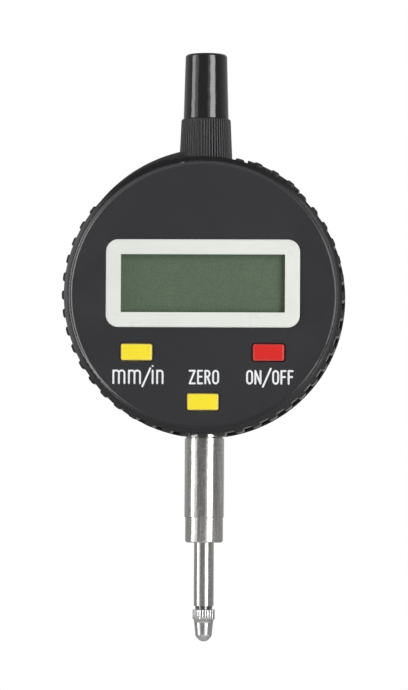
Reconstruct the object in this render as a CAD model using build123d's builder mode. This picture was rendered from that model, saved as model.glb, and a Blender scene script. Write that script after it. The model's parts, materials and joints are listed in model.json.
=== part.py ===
from build123d import *
from math import acos, asin, cos, degrees, hypot, radians, sin
import os

os.makedirs("parts", exist_ok=True)

# Digital indicator, sizes in millimetres.
# +Z runs up along the spindle, -Y points at the reader, and the origin is the middle of the
# clamping length of the stem. Clock angles start at the top of the case and run clockwise
# as the reader sees them. Depths along Y are measured from the spindle's axis.

# Stem and spindle
STEM_D = 8.0
STEM_GRIP = 15.8
STEM_SPARE = 0.1
STEM_RELIEF_D = 7.4
STEM_RELIEF_L = 0.35
STEM_SHANK_D = 8.6
STEM_END_D = 7.66
STEM_END_L = 5.0
STEM_EASE = 0.1
STEM_BELOW_CASE = 0.25
STEM_SEAT = 8.9
STEM_BORE_D = 5.2
SPINDLE_D = 4.0
TRAVEL = 12.7
RUN_GAP = 0.03
SEAT_GAP = 0.02
EASE = 0.3

# Bushes
LOWER_BUSH_D = 6.0
LOWER_BUSH_L = 8.0
LOWER_BUSH_INSET = 0.2
UPPER_BUSH_D = 5.6
UPPER_BUSH_ABOVE_SEAT = 4.0
UPPER_BUSH_BELOW_SEAT = 8.2

# Contact point
POINT_CLEARANCE = 0.7
NECK_D = 3.5
NECK_L = 0.7
KNURL_D = 4.5
KNURL_L = 2.1
KNURL_COUNT = 20
KNURL_DEPTH = 0.14
POINT_D = 3.95
POINT_TAPER_D = 3.4
POINT_TAPER_L = 2.7
NOSE_D = 2.5
NOSE_L = 1.0
BALL_D = 3.0
THREAD_D = 2.0
THREAD_L = 5.0

# Case, round about the Y axis
WALL_T = 2.55
RIB_H = 0.55
RIB_COUNT = 48
RIB_TOP_W = 1.35
RIB_FOOT_W = 1.95
RIB_EASE = 0.15
FLANGE_PROUD = 0.67
FLANGE_T = 3.0
FLANGE_EASE = 0.5
FACE_DEPTH = 13.2
BACK_DEPTH = 6.0
CUT_OVER = 3.0

# Front cover
COVER_T = 1.2
COVER_EDGE = 1.4
RIM_H = 0.8
RIM_W = 1.75
RIM_CREST = 0.85
RIM_SLOPE_W = 0.44
RIM_SLOPE_H = 0.56
SPIGOT_T = 0.9
SPIGOT_L = 0.9
SPIGOT_GAP = 0.12
BOSS_D = 3.8

# Display
WINDOW_W = 32.5
WINDOW_H = 11.5
WINDOW_ABOVE_CENTRE = 2.3
FRAME_BORDER = 2.95
FRAME_CORNER_R = 2.45
FRAME_PROUD = 0.35
FRAME_POCKET = 0.5
FRAME_EASE = 0.2
FRAME_BODY_INSET = 2.0
FRAME_GAP = 0.1
PANE_T = 0.45
PANE_LAP = 0.5
GLASS_T = 1.1
GLASS_MARGIN_X = 2.2
GLASS_MARGIN_Y = 2.55
LEDGE = 2.0
STACK_GAP = 0.05
HOLDER_WALL = 0.9
HOLDER_MARGIN = 2.35
STRIP_W = 1.7
STRIP_INSET = 1.5

# Board
BOARD_T = 1.2
BOARD_AIR = 1.15
BOARD_GAP = 0.6
CHIP_D = 7.0
CHIP_H = 1.2
CHIP_BELOW_CENTRE = 12.6
SCREW_INSET = 2.6
BOARD_SCREW_D = 1.6
BOARD_SCREW_HEAD_D = 2.8
BOARD_SCREW_HEAD_H = 0.9
BOARD_SCREW_L = 3.0
BOARD_SCREW_ABOVE = 0.4
BOARD_SCREW_BELOW = 1.05

# Screws that hold the front cover, and the ones that hold the rear cover
COVER_SCREW_D = 1.8
COVER_SCREW_HEAD_D = 3.4
COVER_SCREW_HEAD_H = 1.4
COVER_SCREW_BITE = 3.0
COVER_SCREW_CLOCKS = (90, 150, 210, 270)
REAR_SCREW_D = 2.0
REAR_SCREW_HEAD_D = 3.8
REAR_SCREW_L = 5.2
REAR_SCREW_INSET = 5.4
REAR_SCREW_CLOCKS = (52.5, 127.5, 232.5, 307.5)
CROSS_W = 0.5
CROSS_L = 2.2
CROSS_DEEP = 0.7

# Buttons: two under the ends of the display frame and one near the case's lower edge
SIDE_BUTTON_INSET = 6.15
SIDE_BUTTON_DROP = 4.95
ZERO_BUTTON_INSET = 3.85
ZERO_BUTTON_RIGHT = 0.1
BUTTON_W = 6.2
BUTTON_H = 3.25
BUTTON_CORNER_R = 0.4
BUTTON_PROUD = 0.6
BUTTON_GAP = 0.25
BUTTON_EASE = 0.25
BUTTON_LIP = 0.7
BUTTON_LIP_T = 0.7
BUTTON_TRAVEL = 0.4
SWITCH_W = 4.2
SWITCH_H = 1.5
SWITCH_D = 1.9
SWITCH_GAP = 0.06
SWITCH_SUNK = 0.5

# Mechanism
BUFFER_T = 1.5
BUFFER_D = 7.4
CARRIAGE_H = 10.0
CARRIAGE_LEFT = 7.5
CARRIAGE_RIGHT = 4.6
CARRIAGE_BACK = 3.2
CARRIAGE_EASE = 0.8
CHAMBER_GAP = 0.7
SCALE_W = 9.2
SCALE_T = 0.8
SCALE_AIR = 0.2
SCALE_TOP_GAP = 0.6
GUIDE_D = 2.0
GUIDE_LEFT = 5.4
GUIDE_BACK = 0.6
GUIDE_SOCKET = 2.5
SET_SCREW_D = 2.0
SET_SCREW_L = 2.4
SET_SCREW_SLOT = 0.4
SPRING_D = 5.3
SPRING_WIRE = 0.4
SPRING_TURNS = 9

# Top collar and dust cap
COLLAR_SUNK = 0.4
COLLAR_H = 8.96
COLLAR_FOOT_R = 5.33
COLLAR_TOP_R = 4.83
COLLAR_SHOULDER = 0.6
COLLAR_RIBS = 56
COLLAR_RIB_DEEP = 0.2
COLLAR_BORE_D = 5.0
COLLAR_GAP = 0.25
SPIGOT_H = 4.2
SPIGOT_D = 6.7
CAP_FOOT_D = 8.85
CAP_TOP_D = 8.35
CAP_FIT = 0.08
CAP_ROOF = 0.9
CAP_HEAD_GAP = 0.3
CAP_ROUND = 0.65
SPINDLE_BELOW_CAP = 0.8

# Battery drawer, a block on the rim with a tray for one button cell
DRAWER_CLOCK = 30
DRAWER_ARC = 24.0
DRAWER_PROUD = 0.3
DRAWER_RIB_H = 0.25
DRAWER_SUNK = 0.9
DRAWER_FACE_FRONT = 9.2
DRAWER_FACE_BACK = 2.0
DRAWER_GAP = 0.2
DRAWER_RIBS = 3
CELL_D = 11.6
CELL_T = 5.4
CELL_POLE_D = 9.6
CELL_POLE_H = 0.35
CELL_GAP = 0.1
CELL_BEHIND_BOARD = 2.1
TRAY_WALL = 0.75
TRAY_LIP_T = 0.6
TRAY_LIP_W = 2.4
CONTACT_T = 0.25
CONTACT_W = 3.0
CONTACT_AIR = 0.1
CONTACT_SLOT = 4.0
CONTACT_PAD = 3.0
CONTACT_FOOT = 2.0
CONTACT_ROOM = 1.0
CONTACT_LEG = 0.75
BLOCK_SIDE_GAP = 0.8

# Port cover, a smooth block on the rim over the data connector
PORT_CLOCK = 330.75
PORT_ARC = 35.5
PORT_CROWN_H = 1.0
PORT_CROWN_RIGHT = 1.9
PORT_CROWN_UP = 0.35
PORT_SUNK = 1.4
PORT_FRONT = 10.2
PORT_BACK = 1.8
PORT_GAP = 0.2
PORT_EASE = 0.4
PORT_TONGUE_ARC = 7.0
PORT_SLOPE_ARC = 4.2
PORT_TONGUE_GAP = 0.7
PLUG_W = 11.6
PLUG_DEEP = 1.6
CONNECTOR_W = 11.0
CONNECTOR_T = 3.6
CONNECTOR_L = 3.4
CONNECTOR_DEPTH = 4.6
PINS = 4
PIN_PITCH = 2.2
PIN_T = 0.4
PIN_W = 0.9
PIN_ROOM = 1.2

# Rear cover and its lug
REAR_T = 1.8
REAR_GAP = 0.1
REAR_EASE = 0.5
LUG_T = 5.0
LUG_HOLE_D = 6.5
LUG_HOLE_BEHIND = 7.7
LUG_R = 6.6
LUG_FOOT = 19.0
LUG_EASE = 0.4

# Depths along Y, front to back
face_y = -FACE_DEPTH
joint_y = face_y + COVER_EDGE
inner_y = face_y + COVER_T
frame_floor_y = face_y + FRAME_POCKET
glass_y = inner_y + STACK_GAP
rear_glass_y = glass_y + GLASS_T
board_y = rear_glass_y + GLASS_T + BOARD_AIR
floor_y = board_y + BOARD_T
scale_y = floor_y + SCALE_AIR
carriage_y = scale_y + SCALE_T
chamber_y = CARRIAGE_BACK + CHAMBER_GAP
back_y = BACK_DEPTH
flange_y = back_y - FLANGE_T
rear_y = back_y + REAR_T
cell_front_y = floor_y + CELL_BEHIND_BOARD
cell_back_y = cell_front_y + CELL_T
tray_back_y = cell_back_y + TRAY_LIP_T

# Radii, from the display's holder outwards: the case is as small as the holder lets it be
frame_w = WINDOW_W + 2 * FRAME_BORDER
frame_h = WINDOW_H + 2 * FRAME_BORDER
glass_w = WINDOW_W + 2 * GLASS_MARGIN_X
glass_h = WINDOW_H + 2 * GLASS_MARGIN_Y
holder_w = glass_w + 2 * (HOLDER_WALL + FRAME_GAP)
holder_h = glass_h + 2 * (HOLDER_WALL + FRAME_GAP)
recess_r = hypot(holder_w / 2, WINDOW_ABOVE_CENTRE + holder_h / 2) + HOLDER_MARGIN
wall_r = recess_r + WALL_T
rib_r = wall_r + RIB_H
flange_r = wall_r + FLANGE_PROUD
outside_r = flange_r + CUT_OVER
board_r = recess_r - BOARD_GAP
screw_ring_r = recess_r - SCREW_INSET
rear_r = wall_r - REAR_GAP
rear_screw_ring_r = wall_r - REAR_SCREW_INSET
collar_seat_r = wall_r - COLLAR_SUNK
drawer_r = rib_r + DRAWER_PROUD
drawer_floor_r = wall_r - DRAWER_SUNK
port_crown_r = rib_r + PORT_CROWN_H
port_floor_r = wall_r - PORT_SUNK

# Heights along Z, bottom to top
grip_z = -STEM_GRIP / 2
grip_top_z = STEM_GRIP / 2 + STEM_SPARE
shank_z = grip_top_z + STEM_RELIEF_L
stem_z = grip_z - STEM_END_L
knurl_z = stem_z - TRAVEL - POINT_CLEARANCE
shoulder_z = knurl_z + NECK_L
case_bottom_z = STEM_GRIP / 2 + STEM_BELOW_CASE
case_z = case_bottom_z + rib_r
chamber_z = case_bottom_z + STEM_SEAT
carriage_z = chamber_z + BUFFER_T + CELL_GAP
spring_z = carriage_z + CARRIAGE_H
collar_z = case_z + collar_seat_r
bush_z = collar_z - UPPER_BUSH_BELOW_SEAT
bush_top_z = collar_z + UPPER_BUSH_ABOVE_SEAT
cap_z = collar_z + COLLAR_H
spindle_top_z = cap_z - SPINDLE_BELOW_CAP
cap_ceiling_z = spindle_top_z + TRAVEL + CAP_HEAD_GAP
cap_top_z = cap_ceiling_z + CAP_ROOF

# Shared widths
rib_pitch = 360 / RIB_COUNT
spigot_r = recess_r - SPIGOT_GAP
frame_body_w = frame_w - 2 * FRAME_BODY_INSET
frame_body_h = frame_h - 2 * FRAME_BODY_INSET
pane_w = WINDOW_W + 2 * PANE_LAP
pane_h = WINDOW_H + 2 * PANE_LAP
rear_glass_h = glass_h - 2 * LEDGE
chamber_left = CARRIAGE_LEFT + CHAMBER_GAP
chamber_right = CARRIAGE_RIGHT + CHAMBER_GAP
spring_right = SPRING_D / 2 + EASE
guide_top_z = bush_z + GUIDE_SOCKET
guide_foot_z = chamber_z - GUIDE_SOCKET
tray_r = CELL_D / 2 + CELL_GAP + TRAY_WALL
cell_ring_r = drawer_floor_r - TRAY_WALL - CELL_D / 2
bay_front_y = cell_front_y - DRAWER_GAP
bay_back_y = tray_back_y + DRAWER_GAP

# The port cover's tongue runs on in front of the collar, from the end of the block
port_end = PORT_CLOCK + PORT_ARC / 2
tongue_end = port_end + PORT_TONGUE_ARC
tongue_back_y = -COLLAR_FOOT_R - COLLAR_GAP - PORT_TONGUE_GAP

case_axis = Axis((0, 0, case_z), (0, 1, 0))

# Board screws: two just above the display's holder and two below it, as clock angles
screw_up = WINDOW_ABOVE_CENTRE + holder_h / 2 + BOARD_SCREW_HEAD_D / 2 + BOARD_SCREW_ABOVE
screw_down = holder_h / 2 - WINDOW_ABOVE_CENTRE + BOARD_SCREW_HEAD_D / 2 + BOARD_SCREW_BELOW
upper_clock = degrees(acos(screw_up / screw_ring_r))
lower_clock = 180 - degrees(acos(screw_down / screw_ring_r))
board_screw_clocks = (upper_clock, lower_clock, 360 - lower_clock, 360 - upper_clock)

# Buttons: name, distance right of the case's centre, distance below it
side_right = frame_w / 2 - SIDE_BUTTON_INSET
side_below = frame_h / 2 + SIDE_BUTTON_DROP - WINDOW_ABOVE_CENTRE
buttons = (
    ("unit", -side_right, side_below),
    ("zero", ZERO_BUTTON_RIGHT, recess_r - ZERO_BUTTON_INSET),
    ("power", side_right, side_below),
)


def facing(y):
    """Plane across the case at depth y, as the reader sees it, centred on the case."""
    return Plane(origin=(0, y, case_z), x_dir=(1, 0, 0), z_dir=(0, -1, 0))


def spoke(clock, y):
    """Plane across the case at depth y, with its x axis pointing out at a clock angle."""
    out = (sin(radians(clock)), 0, cos(radians(clock)))
    return Plane(origin=(0, y, case_z), x_dir=out, z_dir=(0, -1, 0))


def edgeways(clock):
    """Plane through the case's axis at a clock angle: x points out, y points backwards."""
    out = (sin(radians(clock)), 0, cos(radians(clock)))
    across = (-cos(radians(clock)), 0, sin(radians(clock)))
    return Plane(origin=(0, 0, case_z), x_dir=out, z_dir=across)


def place(clock, ring_r):
    """A point of a facing plane, at a clock angle and a distance from the case's axis."""
    return (ring_r * sin(radians(clock)), ring_r * cos(radians(clock)))


def around(clocks, ring_r=0.0):
    """Places on a ring about the case's axis, each turned to face outwards."""
    turns = [90 - clock for clock in clocks]
    return Locations(*[
        Location((ring_r * cos(radians(turn)), ring_r * sin(radians(turn)), 0), (0, 0, turn))
        for turn in turns
    ])


def sector(inner_r, outer_r, arc):
    """A slice of a ring, centred on the x axis."""
    with BuildSketch() as piece:
        with BuildLine():
            outer = CenterArc((0, 0), outer_r, -arc / 2, arc)
            inner = CenterArc((0, 0), inner_r, -arc / 2, arc)
            Line(outer @ 0, inner @ 0)
            Line(outer @ 1, inner @ 1)
        make_face()
    return piece.sketch


def block(left, right, low, high):
    """A rectangle given by its four sides."""
    with BuildSketch() as piece:
        with Locations(((left + right) / 2, (low + high) / 2)):
            Rectangle(right - left, high - low)
    return piece.sketch


def rib(foot_r, top_r):
    """One grip rib in section, standing on the x axis, with its two top corners eased."""
    with BuildSketch() as piece:
        Polygon(
            (foot_r, -RIB_FOOT_W / 2),
            (top_r - RIB_EASE, -RIB_TOP_W / 2 - RIB_EASE),
            (top_r, -RIB_TOP_W / 2 + RIB_EASE),
            (top_r, RIB_TOP_W / 2 - RIB_EASE),
            (top_r - RIB_EASE, RIB_TOP_W / 2 + RIB_EASE),
            (foot_r, RIB_FOOT_W / 2),
            align=None,
        )
    return piece.sketch


def ribbed_disc(radius, depth, count):
    """A disc whose edge is cut into small upright ribs."""
    step = 180 / count
    corners = [
        (
            (radius - depth * (i % 2)) * cos(radians(i * step)),
            (radius - depth * (i % 2)) * sin(radians(i * step)),
        )
        for i in range(2 * count)
    ]
    with BuildSketch() as piece:
        Polygon(*corners, align=None)
    return piece.sketch


def clear_of(clock, middle, arc):
    """Whether a rib at a clock angle stands clear of a block of that arc on the rim."""
    half_rib = degrees(asin(RIB_FOOT_W / 2 / rib_r))
    apart = abs((clock - middle + 180) % 360 - 180)
    return apart > arc / 2 + half_rib


collar_arc = 2 * degrees(asin(COLLAR_FOOT_R / rib_r))
rib_clocks = [
    i * rib_pitch
    for i in range(RIB_COUNT)
    if clear_of(i * rib_pitch, DRAWER_CLOCK, DRAWER_ARC)
    and clear_of(i * rib_pitch, PORT_CLOCK, PORT_ARC)
    and clear_of(i * rib_pitch, 0, collar_arc)
]

# Housing: a round tub with grip ribs, a flange, the mechanism's chamber and two rim recesses
with BuildPart() as housing:
    with BuildSketch(facing(back_y)):
        Circle(wall_r)
    extrude(amount=back_y - joint_y)
    with BuildSketch(facing(flange_y)):
        with around(rib_clocks):
            add(rib(wall_r - EASE, rib_r))
    extrude(amount=flange_y - joint_y)
    with BuildSketch(Plane.XY.offset(case_z)):
        with BuildLine():
            Polyline(
                (0, back_y),
                (flange_r - FLANGE_EASE, back_y),
                (flange_r, back_y - FLANGE_EASE),
                (flange_r, flange_y),
                (0, flange_y),
                close=True,
            )
        make_face()
    revolve(axis=case_axis)
    with BuildSketch(Plane.XY.offset(case_z)):
        with BuildLine():
            Polyline(
                (wall_r, joint_y),
                (rib_r + RIB_H, joint_y),
                (rib_r + RIB_H, joint_y + 2 * RIB_H),
                close=True,
            )
        make_face()
    revolve(axis=case_axis, mode=Mode.SUBTRACT)
    with BuildSketch(facing(floor_y)):
        Circle(recess_r)
    extrude(amount=floor_y - joint_y, mode=Mode.SUBTRACT)
    with BuildSketch(facing(chamber_y)):
        add(block(-chamber_left, chamber_right, chamber_z - case_z,
                  spring_z + TRAVEL + CHAMBER_GAP - case_z))
        add(block(-chamber_left, spring_right, chamber_z - case_z, bush_z - case_z))
    extrude(amount=chamber_y - floor_y, mode=Mode.SUBTRACT)
    with BuildSketch(Plane.XY.offset(chamber_z)):
        Circle(STEM_SHANK_D / 2 + SEAT_GAP)
    extrude(amount=rib_r - outside_r - STEM_SEAT, mode=Mode.SUBTRACT)
    with BuildSketch(Plane.XY.offset(bush_z)):
        Circle(UPPER_BUSH_D / 2 + SEAT_GAP)
    extrude(amount=collar_z - bush_z, mode=Mode.SUBTRACT)
    with BuildSketch(Plane.XY.offset(collar_z)):
        Circle(COLLAR_FOOT_R + COLLAR_GAP)
    extrude(amount=outside_r - collar_seat_r, mode=Mode.SUBTRACT)
    with BuildSketch(Plane.XY.offset(guide_foot_z)):
        with Locations((-GUIDE_LEFT, GUIDE_BACK)):
            Circle(GUIDE_D / 2 + SEAT_GAP)
    extrude(amount=guide_top_z - guide_foot_z, mode=Mode.SUBTRACT)
    with BuildSketch(spoke(DRAWER_CLOCK, bay_back_y)):
        with Locations((cell_ring_r, 0)):
            Circle(tray_r + DRAWER_GAP)
        add(block(cell_ring_r, outside_r, -tray_r - DRAWER_GAP, tray_r + DRAWER_GAP))
    extrude(amount=bay_back_y - bay_front_y, mode=Mode.SUBTRACT)
    with BuildSketch(spoke(DRAWER_CLOCK, DRAWER_FACE_BACK + DRAWER_GAP)):
        add(sector(drawer_floor_r - DRAWER_GAP, outside_r, DRAWER_ARC + BLOCK_SIDE_GAP))
    extrude(amount=DRAWER_FACE_BACK + DRAWER_FACE_FRONT + 2 * DRAWER_GAP, mode=Mode.SUBTRACT)
    contact_back_y = bay_back_y + CONTACT_ROOM
    leg_r = cell_ring_r - tray_r - DRAWER_GAP - CONTACT_LEG
    with BuildSketch(spoke(DRAWER_CLOCK, contact_back_y)):
        add(block(leg_r, cell_ring_r + CONTACT_PAD, -CONTACT_SLOT / 2, CONTACT_SLOT / 2))
    extrude(amount=contact_back_y - floor_y, mode=Mode.SUBTRACT)
    with BuildSketch(spoke(PORT_CLOCK, PORT_BACK + PORT_GAP)):
        add(sector(port_floor_r - PORT_GAP, outside_r, PORT_ARC + BLOCK_SIDE_GAP))
    extrude(amount=PORT_BACK + PORT_FRONT + 2 * PORT_GAP, mode=Mode.SUBTRACT)
    with BuildSketch(spoke(port_end, tongue_back_y + PORT_GAP)):
        add(sector(port_floor_r - PORT_GAP, outside_r, 2 * PORT_TONGUE_ARC + BLOCK_SIDE_GAP))
    extrude(amount=PORT_FRONT + tongue_back_y + 2 * PORT_GAP, mode=Mode.SUBTRACT)
    with BuildSketch(spoke(PORT_CLOCK, -CONNECTOR_DEPTH + CONNECTOR_T / 2 + SEAT_GAP)):
        add(block(port_floor_r - PLUG_DEEP - CONNECTOR_L - PORT_GAP, port_floor_r,
                  -PLUG_W / 2 - PORT_GAP, PLUG_W / 2 + PORT_GAP))
    extrude(amount=CONNECTOR_T + 2 * SEAT_GAP, mode=Mode.SUBTRACT)
    with BuildSketch(spoke(PORT_CLOCK, -CONNECTOR_DEPTH)):
        add(block(port_floor_r - PLUG_DEEP - CONNECTOR_L - PORT_GAP - PIN_ROOM,
                  port_floor_r - PLUG_DEEP - CONNECTOR_L,
                  -PLUG_W / 2 + PORT_GAP, PLUG_W / 2 - PORT_GAP))
    extrude(amount=-CONNECTOR_DEPTH - floor_y, mode=Mode.SUBTRACT)
    with BuildSketch(facing(floor_y)):
        with around(board_screw_clocks, screw_ring_r):
            Circle(BOARD_SCREW_D / 2 + SEAT_GAP)
    extrude(amount=-BOARD_SCREW_L - EASE, mode=Mode.SUBTRACT)
    with BuildSketch(facing(back_y)):
        with around(REAR_SCREW_CLOCKS, rear_screw_ring_r):
            Circle(REAR_SCREW_D / 2 + SEAT_GAP)
    extrude(amount=REAR_SCREW_L, mode=Mode.SUBTRACT)
    with BuildSketch(facing(back_y)):
        with around(COVER_SCREW_CLOCKS, screw_ring_r):
            Circle(COVER_SCREW_D / 2 + EASE)
    extrude(amount=back_y - floor_y, mode=Mode.SUBTRACT)
    with BuildSketch(facing(back_y)):
        with around(COVER_SCREW_CLOCKS, screw_ring_r):
            Circle(COVER_SCREW_HEAD_D / 2 + EASE)
    extrude(amount=COVER_SCREW_HEAD_H + EASE, mode=Mode.SUBTRACT)
housing.part.label = "housing"
export_step(housing.part, "parts/housing.step")

# Front cover: face plate with a raised convex rim, a locating spigot and four screw bosses
rim_foot_r = wall_r - RIM_W
spigot_y = joint_y + SPIGOT_L
boss_y = floor_y - STACK_GAP
with BuildPart() as front_cover:
    with BuildSketch(Plane.XY.offset(case_z)):
        with BuildLine():
            Polyline((0, inner_y), (0, face_y), (rim_foot_r, face_y),
                     (rim_foot_r + RIM_SLOPE_W, face_y - RIM_SLOPE_H))
            ThreePointArc((rim_foot_r + RIM_SLOPE_W, face_y - RIM_SLOPE_H),
                          (wall_r - RIM_CREST, face_y - RIM_H), (wall_r, face_y))
            Polyline((wall_r, face_y), (wall_r, joint_y), (spigot_r, joint_y), (spigot_r, spigot_y),
                     (spigot_r - SPIGOT_T, spigot_y), (spigot_r - SPIGOT_T, inner_y), (0, inner_y))
        make_face()
    revolve(axis=case_axis)
    with BuildSketch(facing(inner_y)):
        with around(COVER_SCREW_CLOCKS, screw_ring_r):
            Circle(BOSS_D / 2)
    extrude(amount=inner_y - boss_y)
    with BuildSketch(facing(boss_y)):
        with around(COVER_SCREW_CLOCKS, screw_ring_r):
            Circle(COVER_SCREW_D / 2 + SEAT_GAP)
    extrude(amount=COVER_SCREW_BITE + EASE, mode=Mode.SUBTRACT)
    with BuildSketch(facing(frame_floor_y)):
        with Locations((0, WINDOW_ABOVE_CENTRE)):
            RectangleRounded(frame_w + FRAME_GAP, frame_h + FRAME_GAP, FRAME_CORNER_R + FRAME_GAP / 2)
    extrude(amount=FRAME_POCKET + RIM_H, mode=Mode.SUBTRACT)
    with BuildSketch(facing(inner_y)):
        with Locations((0, WINDOW_ABOVE_CENTRE)):
            Rectangle(frame_body_w + FRAME_GAP, frame_body_h + FRAME_GAP)
    extrude(amount=COVER_T, mode=Mode.SUBTRACT)
    with BuildSketch(facing(inner_y)):
        for name, right, below in buttons:
            with Locations((right, -below)):
                RectangleRounded(BUTTON_W + 2 * BUTTON_GAP, BUTTON_H + 2 * BUTTON_GAP,
                                 BUTTON_CORNER_R + BUTTON_GAP)
    extrude(amount=COVER_T, mode=Mode.SUBTRACT)
front_cover.part.label = "front_cover"
export_step(front_cover.part, "parts/front_cover.step")

# White display frame: a flange in the cover's pocket and a body through the cover
pane_y = inner_y - STACK_GAP
with BuildPart() as lcd_frame:
    with BuildSketch(facing(frame_floor_y)):
        with Locations((0, WINDOW_ABOVE_CENTRE)):
            RectangleRounded(frame_w, frame_h, FRAME_CORNER_R)
    extrude(amount=FRAME_POCKET + FRAME_PROUD)
    front_face = lcd_frame.faces().sort_by(Axis.Y)[0]
    chamfer(front_face.edges(), FRAME_EASE)
    with BuildSketch(facing(inner_y)):
        with Locations((0, WINDOW_ABOVE_CENTRE)):
            Rectangle(frame_body_w, frame_body_h)
    extrude(amount=inner_y - frame_floor_y)
    with BuildSketch(facing(inner_y)):
        with Locations((0, WINDOW_ABOVE_CENTRE)):
            Rectangle(WINDOW_W, WINDOW_H)
    extrude(amount=COVER_T + FRAME_PROUD, mode=Mode.SUBTRACT)
    with BuildSketch(facing(inner_y)):
        with Locations((0, WINDOW_ABOVE_CENTRE)):
            Rectangle(pane_w + FRAME_GAP, pane_h + FRAME_GAP)
    extrude(amount=PANE_T + 2 * STACK_GAP, mode=Mode.SUBTRACT)
lcd_frame.part.label = "lcd_frame"
export_step(lcd_frame.part, "parts/lcd_frame.step")

# Clear pane, seated from behind in the frame
with BuildPart() as lcd_window:
    with BuildSketch(facing(pane_y)):
        with Locations((0, WINDOW_ABOVE_CENTRE)):
            Rectangle(pane_w, pane_h)
    extrude(amount=PANE_T)
lcd_window.part.label = "lcd_window"
export_step(lcd_window.part, "parts/lcd_window.step")

# Display glass: the front sheet overhangs the rear one, and the ledges take the rubber strips
with BuildPart() as lcd_front_glass:
    with BuildSketch(facing(rear_glass_y)):
        with Locations((0, WINDOW_ABOVE_CENTRE)):
            Rectangle(glass_w, glass_h)
    extrude(amount=GLASS_T)
lcd_front_glass.part.label = "lcd_front_glass"
export_step(lcd_front_glass.part, "parts/lcd_front_glass.step")

with BuildPart() as lcd_rear_glass:
    with BuildSketch(facing(rear_glass_y + GLASS_T)):
        with Locations((0, WINDOW_ABOVE_CENTRE)):
            Rectangle(glass_w, rear_glass_h)
    extrude(amount=GLASS_T)
lcd_rear_glass.part.label = "lcd_rear_glass"
export_step(lcd_rear_glass.part, "parts/lcd_rear_glass.step")

# Rubber connector strips between the front sheet's ledges and the board
strip_up = (glass_h - LEDGE) / 2 + FRAME_GAP / 2
with BuildPart() as zebra_strips:
    with BuildSketch(facing(board_y)):
        with Locations((0, WINDOW_ABOVE_CENTRE - strip_up), (0, WINDOW_ABOVE_CENTRE + strip_up)):
            Rectangle(glass_w - 2 * STRIP_INSET, STRIP_W)
    extrude(amount=board_y - rear_glass_y)
zebra_strips.part.label = "zebra_strips"
export_step(zebra_strips.part, "parts/zebra_strips.step")

# Holder: a frame round the glass that stands on the board
with BuildPart() as lcd_holder:
    with BuildSketch(facing(board_y)):
        with Locations((0, WINDOW_ABOVE_CENTRE)):
            Rectangle(holder_w, holder_h)
            Rectangle(glass_w + 2 * FRAME_GAP, glass_h + 2 * FRAME_GAP, mode=Mode.SUBTRACT)
    extrude(amount=board_y - glass_y)
    outer_corners = lcd_holder.edges().filter_by(Axis.Y).group_by(SortBy.DISTANCE)[-1]
    fillet(outer_corners, EASE)
lcd_holder.part.label = "lcd_holder"
export_step(lcd_holder.part, "parts/lcd_holder.step")

# Main board, with clearance holes for the cover's bosses and holes for its own screws
with BuildPart() as main_board:
    with BuildSketch(facing(floor_y)):
        Circle(board_r)
        with around(COVER_SCREW_CLOCKS, screw_ring_r):
            Circle(BOSS_D / 2 + EASE, mode=Mode.SUBTRACT)
        with around(COVER_SCREW_CLOCKS, recess_r):
            Rectangle(2 * (recess_r - screw_ring_r), BOSS_D + 2 * EASE, mode=Mode.SUBTRACT)
        with around(board_screw_clocks, screw_ring_r):
            Circle(BOARD_SCREW_D / 2 + SEAT_GAP, mode=Mode.SUBTRACT)
    extrude(amount=BOARD_T)
main_board.part.label = "main_board"
export_step(main_board.part, "parts/main_board.step")

with BuildPart() as board_screws:
    with BuildSketch(facing(board_y)):
        with around(board_screw_clocks, screw_ring_r):
            Circle(BOARD_SCREW_HEAD_D / 2)
    extrude(amount=BOARD_SCREW_HEAD_H)
    with BuildSketch(facing(board_y)):
        with around(board_screw_clocks, screw_ring_r):
            Circle(BOARD_SCREW_D / 2)
    extrude(amount=-BOARD_T - BOARD_SCREW_L)
board_screws.part.label = "board_screws"
export_step(board_screws.part, "parts/board_screws.step")

# Chip under a drop of resin
with BuildPart() as chip_cover:
    with BuildSketch(Plane.XY.offset(case_z - CHIP_BELOW_CENTRE)):
        with BuildLine():
            TangentArc((0, board_y - CHIP_H), (CHIP_D / 2, board_y), tangent=(1, 0))
            Polyline((CHIP_D / 2, board_y), (0, board_y), (0, board_y - CHIP_H))
        make_face()
    revolve(axis=Axis((0, 0, case_z - CHIP_BELOW_CENTRE), (0, 1, 0)))
chip_cover.part.label = "chip_cover"
export_step(chip_cover.part, "parts/chip_cover.step")

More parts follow.
